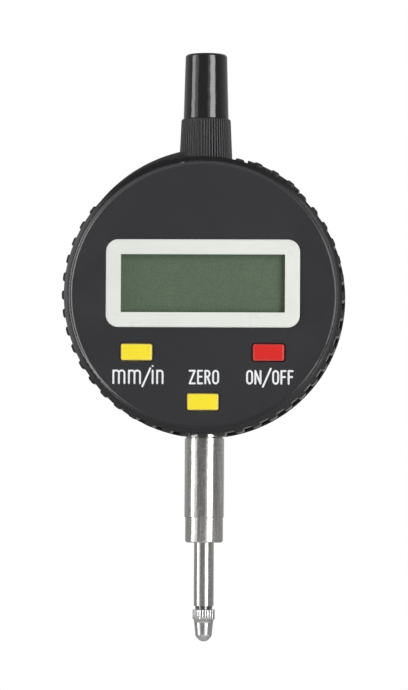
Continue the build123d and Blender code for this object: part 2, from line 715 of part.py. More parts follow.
# Buttons, each over a small switch with its own plunger
button_back_y = inner_y + STACK_GAP + BUTTON_LIP_T
plunger_y = button_back_y + STACK_GAP
switch_y = board_y - SWITCH_H
for name, right, below in buttons:
    with BuildPart() as button:
        with BuildSketch(facing(button_back_y)):
            with Locations((right, -below)):
                RectangleRounded(BUTTON_W + 2 * BUTTON_LIP, BUTTON_H + 2 * BUTTON_LIP,
                                 BUTTON_CORNER_R + BUTTON_LIP)
        extrude(amount=BUTTON_LIP_T)
        with BuildSketch(facing(button_back_y)):
            with Locations((right, -below)):
                RectangleRounded(BUTTON_W, BUTTON_H, BUTTON_CORNER_R)
        extrude(amount=button_back_y - face_y + BUTTON_PROUD)
        top_face = button.faces().sort_by(Axis.Y)[0]
        chamfer(top_face.edges(), BUTTON_EASE)
    button.part.label = f"button_{name}"
    export_step(button.part, f"parts/button_{name}.step")

    with BuildPart() as switch_base:
        with BuildSketch(facing(board_y)):
            with Locations((right, -below)):
                Rectangle(SWITCH_W, SWITCH_W)
        extrude(amount=SWITCH_H)
        fillet(switch_base.edges().filter_by(Axis.Y), EASE)
        with BuildSketch(facing(switch_y)):
            with Locations((right, -below)):
                Circle(SWITCH_D / 2 + SWITCH_GAP)
        extrude(amount=-SWITCH_SUNK - BUTTON_TRAVEL - CELL_GAP, mode=Mode.SUBTRACT)
    switch_base.part.label = f"switch_base_{name}"
    export_step(switch_base.part, f"parts/switch_base_{name}.step")

    with BuildPart() as switch_plunger:
        with BuildSketch(facing(switch_y + SWITCH_SUNK)):
            with Locations((right, -below)):
                Circle(SWITCH_D / 2)
        extrude(amount=switch_y + SWITCH_SUNK - plunger_y)
    switch_plunger.part.label = f"switch_plunger_{name}"
    export_step(switch_plunger.part, f"parts/switch_plunger_{name}.step")

# Stem: a ground tube, slightly smaller at its end, with a bush in the end's counterbore
lower_bush_top_z = stem_z + LOWER_BUSH_INSET + LOWER_BUSH_L
with BuildPart() as stem:
    with BuildSketch(Plane.XZ):
        with BuildLine():
            Polyline(
                (LOWER_BUSH_D / 2 + SEAT_GAP, stem_z),
                (STEM_END_D / 2 - EASE, stem_z),
                (STEM_END_D / 2, stem_z + EASE),
                (STEM_END_D / 2, grip_z),
                (STEM_D / 2 - STEM_EASE, grip_z),
                (STEM_D / 2, grip_z + STEM_EASE),
                (STEM_D / 2, grip_top_z),
                (STEM_RELIEF_D / 2, grip_top_z),
                (STEM_RELIEF_D / 2, shank_z),
                (STEM_SHANK_D / 2, shank_z),
                (STEM_SHANK_D / 2, chamber_z),
                (STEM_BORE_D / 2, chamber_z),
                (STEM_BORE_D / 2, lower_bush_top_z),
                (LOWER_BUSH_D / 2 + SEAT_GAP, lower_bush_top_z),
                close=True,
            )
        make_face()
    revolve(axis=Axis.Z)
stem.part.label = "stem"
export_step(stem.part, "parts/stem.step")

with BuildPart() as lower_bush:
    with BuildSketch(Plane.XY.offset(stem_z + LOWER_BUSH_INSET)):
        Circle(LOWER_BUSH_D / 2)
        Circle(SPINDLE_D / 2 + RUN_GAP, mode=Mode.SUBTRACT)
    extrude(amount=LOWER_BUSH_L)
lower_bush.part.label = "lower_bush"
export_step(lower_bush.part, "parts/lower_bush.step")

with BuildPart() as upper_bush:
    with BuildSketch(Plane.XY.offset(bush_z)):
        Circle(UPPER_BUSH_D / 2)
        Circle(SPINDLE_D / 2 + RUN_GAP, mode=Mode.SUBTRACT)
    extrude(amount=bush_top_z - bush_z)
upper_bush.part.label = "upper_bush"
export_step(upper_bush.part, "parts/upper_bush.step")

# Rubber ring on the stem's top end, where the carriage comes to rest
with BuildPart() as buffer_ring:
    with BuildSketch(Plane.XY.offset(chamber_z)):
        Circle(BUFFER_D / 2)
        Circle(STEM_BORE_D / 2, mode=Mode.SUBTRACT)
    extrude(amount=BUFFER_T)
buffer_ring.part.label = "buffer_ring"
export_step(buffer_ring.part, "parts/buffer_ring.step")

# Spindle, with a threaded hole for the point in its lower end
with BuildPart() as spindle:
    with BuildSketch(Plane.XY.offset(shoulder_z)):
        Circle(SPINDLE_D / 2)
    extrude(amount=spindle_top_z - shoulder_z)
    chamfer(spindle.edges().sort_by(Axis.Z)[-1], EASE)
    with BuildSketch(Plane.XY.offset(shoulder_z)):
        Circle(THREAD_D / 2 + SEAT_GAP)
    extrude(amount=THREAD_L + EASE, mode=Mode.SUBTRACT)
spindle.part.label = "spindle"
export_step(spindle.part, "parts/spindle.step")

# Contact point: threaded shank, neck, knurled band, tapered body and a nose that holds the ball
point_z = knurl_z - KNURL_L
taper_z = point_z - POINT_TAPER_L
nose_z = taper_z - NOSE_L
ball_z = nose_z + ((BALL_D / 2) ** 2 - (NOSE_D / 2) ** 2) ** 0.5
with BuildPart() as contact_point:
    with BuildSketch(Plane.XZ):
        with BuildLine():
            Polyline(
                (0, shoulder_z + THREAD_L),
                (THREAD_D / 2, shoulder_z + THREAD_L),
                (THREAD_D / 2, shoulder_z),
                (NECK_D / 2, shoulder_z),
                (NECK_D / 2, knurl_z),
                (KNURL_D / 2 - KNURL_DEPTH, knurl_z),
                (KNURL_D / 2, knurl_z - KNURL_DEPTH),
                (KNURL_D / 2, point_z + KNURL_DEPTH),
                (KNURL_D / 2 - KNURL_DEPTH, point_z),
                (POINT_D / 2, point_z),
                (POINT_TAPER_D / 2, taper_z),
            )
            ThreePointArc(
                (POINT_TAPER_D / 2, taper_z),
                ((POINT_TAPER_D + NOSE_D) / 4 + KNURL_DEPTH, (taper_z + nose_z) / 2),
                (NOSE_D / 2, nose_z),
            )
            Polyline((NOSE_D / 2, nose_z), (0, nose_z), (0, shoulder_z + THREAD_L))
        make_face()
    revolve(axis=Axis.Z)
    with Locations((0, 0, ball_z)):
        Sphere(BALL_D / 2 + SEAT_GAP, mode=Mode.SUBTRACT)
    with BuildSketch(Plane.XY.offset(point_z)):
        with PolarLocations(KNURL_D / 2, KNURL_COUNT):
            Polygon((-KNURL_DEPTH, 0), (KNURL_DEPTH, -2 * KNURL_DEPTH), (KNURL_DEPTH, 2 * KNURL_DEPTH),
                    align=None)
    extrude(amount=KNURL_L, mode=Mode.SUBTRACT)
contact_point.part.label = "contact_point"
export_step(contact_point.part, "parts/contact_point.step")

with BuildPart() as contact_ball:
    with Locations((0, 0, ball_z)):
        Sphere(BALL_D / 2)
contact_ball.part.label = "contact_ball"
export_step(contact_ball.part, "parts/contact_ball.step")

# Carriage on the spindle, with the guide rod's hole and a set screw
screw_z = carriage_z + CARRIAGE_H / 2
with BuildPart() as carriage:
    with BuildSketch(Plane.XY.offset(carriage_z)):
        add(block(-CARRIAGE_LEFT, CARRIAGE_RIGHT, carriage_y, CARRIAGE_BACK))
    extrude(amount=CARRIAGE_H)
    fillet(carriage.edges().filter_by(Axis.Z), CARRIAGE_EASE)
    with BuildSketch(Plane.XY.offset(carriage_z)):
        Circle(SPINDLE_D / 2 + SEAT_GAP)
        with Locations((-GUIDE_LEFT, GUIDE_BACK)):
            Circle(GUIDE_D / 2 + RUN_GAP)
    extrude(amount=CARRIAGE_H, mode=Mode.SUBTRACT)
    with BuildSketch(Plane.YZ.offset(SPINDLE_D / 2)):
        with Locations((0, screw_z)):
            Circle(SET_SCREW_D / 2 + SEAT_GAP)
    extrude(amount=CARRIAGE_RIGHT, mode=Mode.SUBTRACT)
carriage.part.label = "carriage"
export_step(carriage.part, "parts/carriage.step")

with BuildPart() as carriage_screw:
    with BuildSketch(Plane.YZ.offset(SPINDLE_D / 2 + SEAT_GAP)):
        with Locations((0, screw_z)):
            Circle(SET_SCREW_D / 2)
    extrude(amount=SET_SCREW_L)
    with BuildSketch(Plane.YZ.offset(SPINDLE_D / 2 + SEAT_GAP + SET_SCREW_L)):
        with Locations((0, screw_z)):
            Rectangle(SET_SCREW_D, SET_SCREW_SLOT)
    extrude(amount=-SET_SCREW_SLOT, mode=Mode.SUBTRACT)
carriage_screw.part.label = "carriage_screw"
export_step(carriage_screw.part, "parts/carriage_screw.step")

# Moving half of the sensor, glued to the carriage's front, close behind the board
scale_top_z = bush_z - TRAVEL - SCALE_TOP_GAP
with BuildPart() as scale_plate:
    with BuildSketch(Plane.XY.offset(carriage_z)):
        add(block(-CARRIAGE_LEFT + CARRIAGE_EASE, -CARRIAGE_LEFT + CARRIAGE_EASE + SCALE_W,
                  scale_y, carriage_y))
    extrude(amount=scale_top_z - carriage_z)
scale_plate.part.label = "scale_plate"
export_step(scale_plate.part, "parts/scale_plate.step")

with BuildPart() as guide_rod:
    with BuildSketch(Plane.XY.offset(guide_foot_z)):
        with Locations((-GUIDE_LEFT, GUIDE_BACK)):
            Circle(GUIDE_D / 2)
    extrude(amount=guide_top_z - guide_foot_z)
guide_rod.part.label = "guide_rod"
export_step(guide_rod.part, "parts/guide_rod.step")

# Return spring between the carriage and the upper bush
spring_l = bush_z - spring_z - SPRING_WIRE
with BuildPart() as return_spring:
    with BuildLine(Plane.XY.offset(spring_z + SPRING_WIRE / 2)) as coil:
        Helix(pitch=spring_l / SPRING_TURNS, height=spring_l, radius=(SPRING_D - SPRING_WIRE) / 2)
    with BuildSketch(Plane(origin=coil.line @ 0, z_dir=coil.line % 0)):
        RegularPolygon(SPRING_WIRE / 2, 6)
    sweep(path=coil.line, is_frenet=True)
return_spring.part.label = "return_spring"
export_step(return_spring.part, "parts/return_spring.step")

# Ribbed collar on the upper bush
with BuildPart() as cap_collar:
    with BuildSketch(Plane.XY.offset(collar_z)):
        add(ribbed_disc(COLLAR_FOOT_R, COLLAR_RIB_DEEP, COLLAR_RIBS))
    with BuildSketch(Plane.XY.offset(cap_z)):
        add(ribbed_disc(COLLAR_TOP_R, COLLAR_RIB_DEEP, COLLAR_RIBS))
    loft(ruled=True)
    with BuildSketch(Plane.XZ):
        with BuildLine():
            Polyline((0, cap_z), (0, collar_z), (COLLAR_FOOT_R, collar_z),
                     (COLLAR_FOOT_R, cap_z - COLLAR_SHOULDER),
                     (COLLAR_TOP_R, cap_z - COLLAR_SHOULDER))
            TangentArc((COLLAR_TOP_R, cap_z - COLLAR_SHOULDER), (COLLAR_TOP_R - COLLAR_SHOULDER, cap_z),
                       tangent=(0, 1))
            Line((COLLAR_TOP_R - COLLAR_SHOULDER, cap_z), (0, cap_z))
        make_face()
    revolve(axis=Axis.Z, mode=Mode.INTERSECT)
    with BuildSketch(Plane.XY.offset(cap_z)):
        Circle(SPIGOT_D / 2)
    extrude(amount=SPIGOT_H)
    with BuildSketch(Plane.XY.offset(collar_z)):
        Circle(UPPER_BUSH_D / 2 + SEAT_GAP)
    extrude(amount=bush_top_z - collar_z, mode=Mode.SUBTRACT)
    with BuildSketch(Plane.XY.offset(bush_top_z)):
        Circle(COLLAR_BORE_D / 2)
    extrude(amount=cap_z + SPIGOT_H - bush_top_z, mode=Mode.SUBTRACT)
cap_collar.part.label = "cap_collar"
export_step(cap_collar.part, "parts/cap_collar.step")

# Dust cap over the spindle's upper end, pushed on the collar's spigot
with BuildPart() as dust_cap:
    with BuildSketch(Plane.XZ):
        with BuildLine():
            Polyline((0, cap_z), (CAP_FOOT_D / 2, cap_z), (CAP_TOP_D / 2, cap_top_z), (0, cap_top_z),
                     close=True)
        make_face()
    revolve(axis=Axis.Z)
    fillet(dust_cap.edges().sort_by(Axis.Z)[-1], CAP_ROUND)
    with BuildSketch(Plane.XY.offset(cap_z)):
        Circle(SPIGOT_D / 2 + CAP_FIT)
    extrude(amount=cap_ceiling_z - cap_z, mode=Mode.SUBTRACT)
dust_cap.part.label = "dust_cap"
export_step(dust_cap.part, "parts/dust_cap.step")

# Battery drawer: a ribbed face that closes the rim, and an open tray round the cell
with BuildPart() as battery_drawer:
    with BuildSketch(spoke(DRAWER_CLOCK, DRAWER_FACE_BACK)):
        add(sector(drawer_floor_r, drawer_r, DRAWER_ARC))
        with Locations(*[
            Location((0, 0, 0), (0, 0, (i - (DRAWER_RIBS - 1) / 2) * rib_pitch))
            for i in range(DRAWER_RIBS)
        ]):
            add(rib(drawer_r - EASE, drawer_r + DRAWER_RIB_H))
    extrude(amount=DRAWER_FACE_FRONT + DRAWER_FACE_BACK)
    with BuildSketch(spoke(DRAWER_CLOCK, cell_back_y)):
        with Locations((cell_ring_r, 0)):
            Circle(tray_r)
        add(block(cell_ring_r, drawer_floor_r + EASE, -tray_r, tray_r))
    extrude(amount=CELL_T)
    with BuildSketch(spoke(DRAWER_CLOCK, tray_back_y)):
        with Locations((cell_ring_r, 0)):
            Circle(tray_r)
        add(block(cell_ring_r, drawer_floor_r + EASE, -tray_r, tray_r))
        add(block(0, drawer_floor_r, TRAY_LIP_W - tray_r, tray_r - TRAY_LIP_W), mode=Mode.SUBTRACT)
    extrude(amount=TRAY_LIP_T)
    with BuildSketch(spoke(DRAWER_CLOCK, cell_back_y)):
        with Locations((cell_ring_r, 0)):
            Circle(CELL_D / 2 + CELL_GAP)
    extrude(amount=CELL_T, mode=Mode.SUBTRACT)
battery_drawer.part.label = "battery_drawer"
export_step(battery_drawer.part, "parts/battery_drawer.step")

with BuildPart() as battery:
    with BuildSketch(spoke(DRAWER_CLOCK, cell_back_y)):
        with Locations((cell_ring_r, 0)):
            Circle(CELL_D / 2)
    extrude(amount=CELL_T - CELL_POLE_H)
    fillet(battery.edges().sort_by(Axis.Y)[-1], EASE)
    with BuildSketch(spoke(DRAWER_CLOCK, cell_front_y + CELL_POLE_H)):
        with Locations((cell_ring_r, 0)):
            Circle(CELL_POLE_D / 2)
    extrude(amount=CELL_POLE_H)
battery.part.label = "battery"
export_step(battery.part, "parts/battery.step")

# Sprung contact leaves, one on each face of the cell
half_t = CONTACT_T / 2
minus_y = cell_front_y - CONTACT_AIR - half_t
with BuildPart() as contact_minus:
    with BuildSketch(edgeways(DRAWER_CLOCK)):
        with BuildLine():
            Polyline(
                (leg_r + CONTACT_FOOT, floor_y + half_t + STACK_GAP),
                (leg_r + 2 * CONTACT_FOOT, floor_y + half_t + STACK_GAP),
                (cell_ring_r - CONTACT_PAD / 2, minus_y),
                (cell_ring_r + CONTACT_PAD / 2, minus_y),
            )
        trace(line_width=CONTACT_T)
    extrude(amount=CONTACT_W / 2, both=True)
contact_minus.part.label = "contact_minus"
export_step(contact_minus.part, "parts/contact_minus.step")

plus_y = cell_back_y + CONTACT_AIR + half_t
with BuildPart() as contact_plus:
    with BuildSketch(edgeways(DRAWER_CLOCK)):
        with BuildLine():
            Polyline(
                (leg_r + half_t + STACK_GAP, floor_y + STACK_GAP),
                (leg_r + half_t + STACK_GAP, contact_back_y - half_t - STACK_GAP),
                (leg_r + CONTACT_FOOT, contact_back_y - half_t - STACK_GAP),
                (cell_ring_r - CONTACT_PAD / 2, plus_y),
                (cell_ring_r + CONTACT_PAD / 2, plus_y),
            )
        trace(line_width=CONTACT_T)
    extrude(amount=CONTACT_W / 2, both=True)
contact_plus.part.label = "contact_plus"
export_step(contact_plus.part, "parts/contact_plus.step")

# Port cover: a smooth crowned block with a plug that fills the mouth of the connector's recess,
# and a tongue that slopes down in front of the collar
plug_r = port_floor_r - PLUG_DEEP
with BuildPart() as port_cover:
    with BuildSketch(spoke(PORT_CLOCK, PORT_BACK)):
        add(sector(port_floor_r, outside_r, PORT_ARC))
    extrude(amount=PORT_BACK + PORT_FRONT)
    with BuildSketch(spoke(port_end, tongue_back_y)):
        add(sector(port_floor_r, outside_r, 2 * PORT_TONGUE_ARC))
    extrude(amount=PORT_FRONT + tongue_back_y)
    with BuildSketch(facing(PORT_BACK)):
        with Locations((PORT_CROWN_RIGHT, PORT_CROWN_UP)):
            Circle(port_crown_r)
    extrude(amount=PORT_BACK + PORT_FRONT, mode=Mode.INTERSECT)
    crown = port_cover.faces().filter_by(GeomType.CYLINDER).sort_by(SortBy.AREA)[-1]
    crown_edges = crown.edges().filter_by(GeomType.CIRCLE).sort_by(Axis.Y)
    chamfer([crown_edges[0], crown_edges[-1]], PORT_EASE)
    with BuildSketch(facing(PORT_BACK)):
        Polygon(
            place(tongue_end - PORT_SLOPE_ARC, port_crown_r),
            place(tongue_end, wall_r),
            place(tongue_end + PORT_SLOPE_ARC, wall_r),
            place(tongue_end, outside_r),
            place(tongue_end - PORT_SLOPE_ARC, outside_r),
            align=None,
        )
    extrude(amount=PORT_BACK + PORT_FRONT, mode=Mode.SUBTRACT)
    with BuildSketch(spoke(PORT_CLOCK, -CONNECTOR_DEPTH + CONNECTOR_T / 2 - PORT_GAP)):
        add(block(plug_r, port_floor_r + EASE, -PLUG_W / 2, PLUG_W / 2))
    extrude(amount=CONNECTOR_T - 2 * PORT_GAP)
port_cover.part.label = "port_cover"
export_step(port_cover.part, "parts/port_cover.step")

with BuildPart() as data_connector:
    with BuildSketch(spoke(PORT_CLOCK, -CONNECTOR_DEPTH + CONNECTOR_T / 2)):
        add(block(plug_r - PORT_GAP - CONNECTOR_L, plug_r - PORT_GAP - PIN_T,
                  -CONNECTOR_W / 2, CONNECTOR_W / 2))
    extrude(amount=CONNECTOR_T)
data_connector.part.label = "data_connector"
export_step(data_connector.part, "parts/data_connector.step")

# Gold pins: a strip along the connector's mouth, and a leg down to the board
pin_mouth_r = plug_r - PORT_GAP - PIN_T
pin_leg_r = plug_r - PORT_GAP - CONNECTOR_L - PIN_T
with BuildPart() as data_pins:
    for i in range(PINS):
        across = (i - (PINS - 1) / 2) * PIN_PITCH
        with BuildSketch(spoke(PORT_CLOCK, -CONNECTOR_DEPTH + PIN_W)):
            add(block(pin_mouth_r, pin_mouth_r + PIN_T, across - PIN_W / 2, across + PIN_W / 2))
        extrude(amount=2 * PIN_W)
        with BuildSketch(spoke(PORT_CLOCK, -CONNECTOR_DEPTH)):
            add(block(pin_leg_r, pin_leg_r + PIN_T, across - PIN_W / 2, across + PIN_W / 2))
        extrude(amount=-CONNECTOR_DEPTH - floor_y - STACK_GAP)
data_pins.part.label = "data_pins"
export_step(data_pins.part, "parts/data_pins.step")

# Screws from behind into the front cover's bosses
cover_head_y = back_y - COVER_SCREW_HEAD_H
with BuildPart() as cover_screws:
    with BuildSketch(facing(back_y)):
        with around(COVER_SCREW_CLOCKS, screw_ring_r):
            Circle(COVER_SCREW_HEAD_D / 2)
    extrude(amount=COVER_SCREW_HEAD_H)
    with BuildSketch(facing(cover_head_y)):
        with around(COVER_SCREW_CLOCKS, screw_ring_r):
            Circle(COVER_SCREW_D / 2)
    extrude(amount=cover_head_y - boss_y + COVER_SCREW_BITE)
cover_screws.part.label = "cover_screws"
export_step(cover_screws.part, "parts/cover_screws.step")

# Rear cover with the mounting lug cast on it
lug_hole_y = rear_y + LUG_HOLE_BEHIND
with BuildPart() as rear_cover:
    with BuildSketch(facing(rear_y)):
        Circle(rear_r)
    extrude(amount=REAR_T)
    chamfer(rear_cover.edges().sort_by(Axis.Y)[-1], REAR_EASE)
    with BuildSketch(Plane.YZ.offset(-LUG_T / 2)):
        with Locations((lug_hole_y, case_z)):
            Circle(LUG_R)
        add(block(rear_y - REAR_T / 2, rear_y, case_z - LUG_FOOT / 2, case_z + LUG_FOOT / 2))
        make_hull()
    extrude(amount=LUG_T)
    lug_sides = rear_cover.faces().filter_by(Axis.X)
    chamfer(lug_sides.edges().filter_by(GeomType.CIRCLE), LUG_EASE)
    with BuildSketch(Plane.YZ.offset(-LUG_T / 2)):
        with Locations((lug_hole_y, case_z)):
            Circle(LUG_HOLE_D / 2)
    extrude(amount=LUG_T, mode=Mode.SUBTRACT)
    with BuildSketch(facing(rear_y)):
        with around(REAR_SCREW_CLOCKS, rear_screw_ring_r):
            Circle(REAR_SCREW_D / 2 + SEAT_GAP)
    extrude(amount=REAR_T, mode=Mode.SUBTRACT)
    with BuildSketch(facing(rear_y)):
        with around(REAR_SCREW_CLOCKS, rear_screw_ring_r):
            Circle(REAR_SCREW_HEAD_D / 2 + SEAT_GAP)
    extrude(amount=REAR_SCREW_HEAD_D / 2, taper=45, mode=Mode.SUBTRACT)
rear_cover.part.label = "rear_cover"
export_step(rear_cover.part, "parts/rear_cover.step")

# Countersunk screws with a cross recess
with BuildPart() as rear_screws:
    with BuildSketch(facing(rear_y)):
        with around(REAR_SCREW_CLOCKS, rear_screw_ring_r):
            Circle(REAR_SCREW_HEAD_D / 2)
    extrude(amount=(REAR_SCREW_HEAD_D - REAR_SCREW_D) / 2, taper=45)
    with BuildSketch(facing(rear_y)):
        with around(REAR_SCREW_CLOCKS, rear_screw_ring_r):
            Circle(REAR_SCREW_D / 2)
    extrude(amount=REAR_SCREW_L)
    with BuildSketch(facing(rear_y)):
        with around(REAR_SCREW_CLOCKS, rear_screw_ring_r):
            Rectangle(CROSS_L, CROSS_W)
            Rectangle(CROSS_W, CROSS_L)
    extrude(amount=CROSS_DEEP, mode=Mode.SUBTRACT)
rear_screws.part.label = "rear_screws"
export_step(rear_screws.part, "parts/rear_screws.step")
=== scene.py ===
"""A digital indicator in a plain studio: finishes, printed labels, lights and camera round its frame.

Lengths are written in millimetres and turned into metres by MM. The frame has +Z up along the
spindle, -Y towards the reader, and its origin in the middle of the stem's clamping length.
"""

import json
from math import cos, hypot, pi, radians, sin, tan, tau

import bmesh
import bpy
from mathutils import Matrix, Vector

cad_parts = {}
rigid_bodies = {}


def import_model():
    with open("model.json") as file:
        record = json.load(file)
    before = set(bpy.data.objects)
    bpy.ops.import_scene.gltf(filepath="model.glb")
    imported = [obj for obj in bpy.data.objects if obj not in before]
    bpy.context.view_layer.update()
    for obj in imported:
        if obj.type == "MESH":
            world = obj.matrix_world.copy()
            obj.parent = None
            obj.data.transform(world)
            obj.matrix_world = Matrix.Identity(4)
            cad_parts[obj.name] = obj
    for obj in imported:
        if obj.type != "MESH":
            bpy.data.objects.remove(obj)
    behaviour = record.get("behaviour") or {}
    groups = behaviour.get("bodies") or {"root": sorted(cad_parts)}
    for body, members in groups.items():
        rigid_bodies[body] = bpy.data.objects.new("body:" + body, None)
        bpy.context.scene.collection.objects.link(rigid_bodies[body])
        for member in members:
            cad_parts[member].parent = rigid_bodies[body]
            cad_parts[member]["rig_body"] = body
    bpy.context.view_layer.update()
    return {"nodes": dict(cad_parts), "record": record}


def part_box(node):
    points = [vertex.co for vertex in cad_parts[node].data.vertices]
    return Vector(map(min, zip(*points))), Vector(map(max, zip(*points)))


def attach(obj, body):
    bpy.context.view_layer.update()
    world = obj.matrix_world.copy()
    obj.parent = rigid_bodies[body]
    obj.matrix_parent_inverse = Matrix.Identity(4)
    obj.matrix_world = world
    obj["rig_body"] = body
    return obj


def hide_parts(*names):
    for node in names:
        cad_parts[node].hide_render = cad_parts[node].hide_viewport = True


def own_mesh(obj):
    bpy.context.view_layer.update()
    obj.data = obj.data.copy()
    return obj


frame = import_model()

MM = 0.001
SLOTS = {part["node"]: part["material_slot"] for part in frame["record"]["subparts"]}
COLOURS = {m["slot"]: m["base_color"] for m in frame["record"]["materials"]}
COVER_LOW, COVER_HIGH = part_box("front_cover")
CASE_Z = (COVER_LOW.z + COVER_HIGH.z) / 2
WALL_R = (COVER_HIGH.z - COVER_LOW.z) / 2
RIM_W = 1.75 * MM
RIM_FOOT_R = WALL_R - RIM_W
RIB_R = WALL_R + 0.55 * MM

# Sizes that the finishes share, in millimetres
CLOUD_MM = 9.0
SCUFF_MM = 1.4
METAL_EDGE_MM = 0.06

# How light a worn edge turns, partly as a painted highlight, and the least share of its full strength
# that the painted highlight on a pale edge keeps
RUBBED_AND_LIT_GREY = 0.35
LEAST_PALE = 0.7


# Finishes
class Finish:
    """A procedural material in the object's own coordinates."""

    def __init__(self, name):
        self.material = bpy.data.materials.new(name)
        self.material.use_nodes = True
        self.tree = self.material.node_tree
        self.shader = self.tree.nodes["Principled BSDF"]
        self.place = self.add("ShaderNodeTexCoord").outputs["Object"]

    def add(self, kind, **settings):
        node = self.tree.nodes.new(kind)
        for key, value in settings.items():
            setattr(node, key, value)
        return node

    def set(self, **values):
        for key, value in values.items():
            self.shader.inputs[key.replace("_", " ")].default_value = value

    def feed(self, socket, source):
        self.tree.links.new(source, self.shader.inputs[socket])

    def noise(self, grain_mm, detail=3.0, stretch=(1, 1, 1)):
        """Noise whose blotches are about grain_mm across, drawn out along an axis by stretch."""
        mapping = self.add("ShaderNodeMapping")
        mapping.inputs["Scale"].default_value = [1 / (grain_mm * MM * s) for s in stretch]
        self.tree.links.new(self.place, mapping.inputs["Vector"])
        noise = self.add("ShaderNodeTexNoise")
        noise.inputs["Scale"].default_value = 1.0
        noise.inputs["Detail"].default_value = detail
        self.tree.links.new(mapping.outputs["Vector"], noise.inputs["Vector"])
        return noise.outputs["Fac"]

    def spread(self, source, low, high, start=0.3, end=0.7):
        """Source, which runs from start to end, as a number from low to high."""
        node = self.add("ShaderNodeMapRange")
        values = {"From Min": start, "From Max": end, "To Min": low, "To Max": high}
        for key, value in values.items():
            node.inputs[key].default_value = value
        self.tree.links.new(source, node.inputs["Value"])
        return node.outputs["Result"]

    def tint(self, source, colour, low, high):
        """Colour made darker and lighter by a factor from low to high as source goes from 0.3 to 0.7."""
        ramp = self.add("ShaderNodeValToRGB")
        for stop, share, factor in zip(ramp.color_ramp.elements, (0.3, 0.7), (low, high)):
            stop.position = share
            stop.color = [min(c * factor, 1) for c in colour[:3]] + [1]
        self.tree.links.new(source, ramp.inputs["Fac"])
        return ramp.outputs["Color"]

    def blend(self, share, first, second):
        """First where share is 0, second where it is 1."""
        mix = self.add("ShaderNodeMix", data_type="RGBA")
        for socket, value in ((0, share), (6, first), (7, second)):
            if hasattr(value, "is_linked"):
                self.tree.links.new(value, mix.inputs[socket])
            else:
                mix.inputs[socket].default_value = value
        return mix.outputs[2]

    def times(self, *masks):
        """The masks multiplied together."""
        product = masks[0]
        for mask in masks[1:]:
            node = self.add("ShaderNodeMath", operation="MULTIPLY")
            self.tree.links.new(product, node.inputs[0])
            self.tree.links.new(mask, node.inputs[1])
            product = node.outputs[0]
        return product

    def bump(self, height, depth_mm, under=None):
        node = self.add("ShaderNodeBump")
        node.inputs["Strength"].default_value = 1.0
        node.inputs["Distance"].default_value = depth_mm * MM
        self.tree.links.new(height, node.inputs["Height"])
        if under is not None:
            self.tree.links.new(under, node.inputs["Normal"])
        return node.outputs["Normal"]

    def round_edges(self, radius_mm):
        """Normals turned over sharp edges, and a mask that is 1 on those edges."""
        bevel = self.add("ShaderNodeBevel", samples=4)
        bevel.inputs["Radius"].default_value = radius_mm * MM
        geometry = self.add("ShaderNodeNewGeometry")
        dot = self.add("ShaderNodeVectorMath", operation="DOT_PRODUCT")
        self.tree.links.new(bevel.outputs["Normal"], dot.inputs[0])
        self.tree.links.new(geometry.outputs["Normal"], dot.inputs[1])
        return bevel.outputs["Normal"], self.spread(dot.outputs["Value"], 1, 0, 0.82, 0.99)

    def front_edges(self):
        """A mask that is 1 where a surface turns from the front round to a side."""
        split = self.add("ShaderNodeSeparateXYZ")
        self.tree.links.new(self.add("ShaderNodeTexCoord").outputs["Normal"], split.inputs[0])
        ahead = split.outputs["Y"]
        return self.times(self.spread(ahead, 0, 1, -0.98, -0.85), self.spread(ahead, 1, 0, -0.2, -0.02))

    def from_case_axis(self):
        """Distance from the axis through the middle of the case."""
        offset = self.add("ShaderNodeVectorMath", operation="SUBTRACT")
        self.tree.links.new(self.place, offset.inputs[0])
        offset.inputs[1].default_value = (0, 0, CASE_Z)
        flat = self.add("ShaderNodeVectorMath", operation="MULTIPLY")
        self.tree.links.new(offset.outputs[0], flat.inputs[0])
        flat.inputs[1].default_value = (1, 0, 1)
        reach = self.add("ShaderNodeVectorMath", operation="LENGTH")
        self.tree.links.new(flat.outputs[0], reach.inputs[0])
        return reach.outputs["Value"]

    def grooves(self, reach_mm):
        """A mask that nears 1 where other surfaces stand close by, used to paint shade into grooves."""
        openness = self.add("ShaderNodeAmbientOcclusion", samples=6)
        openness.inputs["Distance"].default_value = reach_mm * MM
        return self.spread(openness.outputs["AO"], 1, 0, 0.35, 0.9)


def grey(level):
    return [level] * 3 + [1]


def shade(colour, factor):
    """A colour made darker or lighter by a factor."""
    return [c * factor for c in colour[:3]] + [1]


def toward(colour, level, share):
    """A colour moved towards a level of grey by a share of the way."""
    return [min(c + (level - c) * share, 1) for c in colour[:3]] + [1]


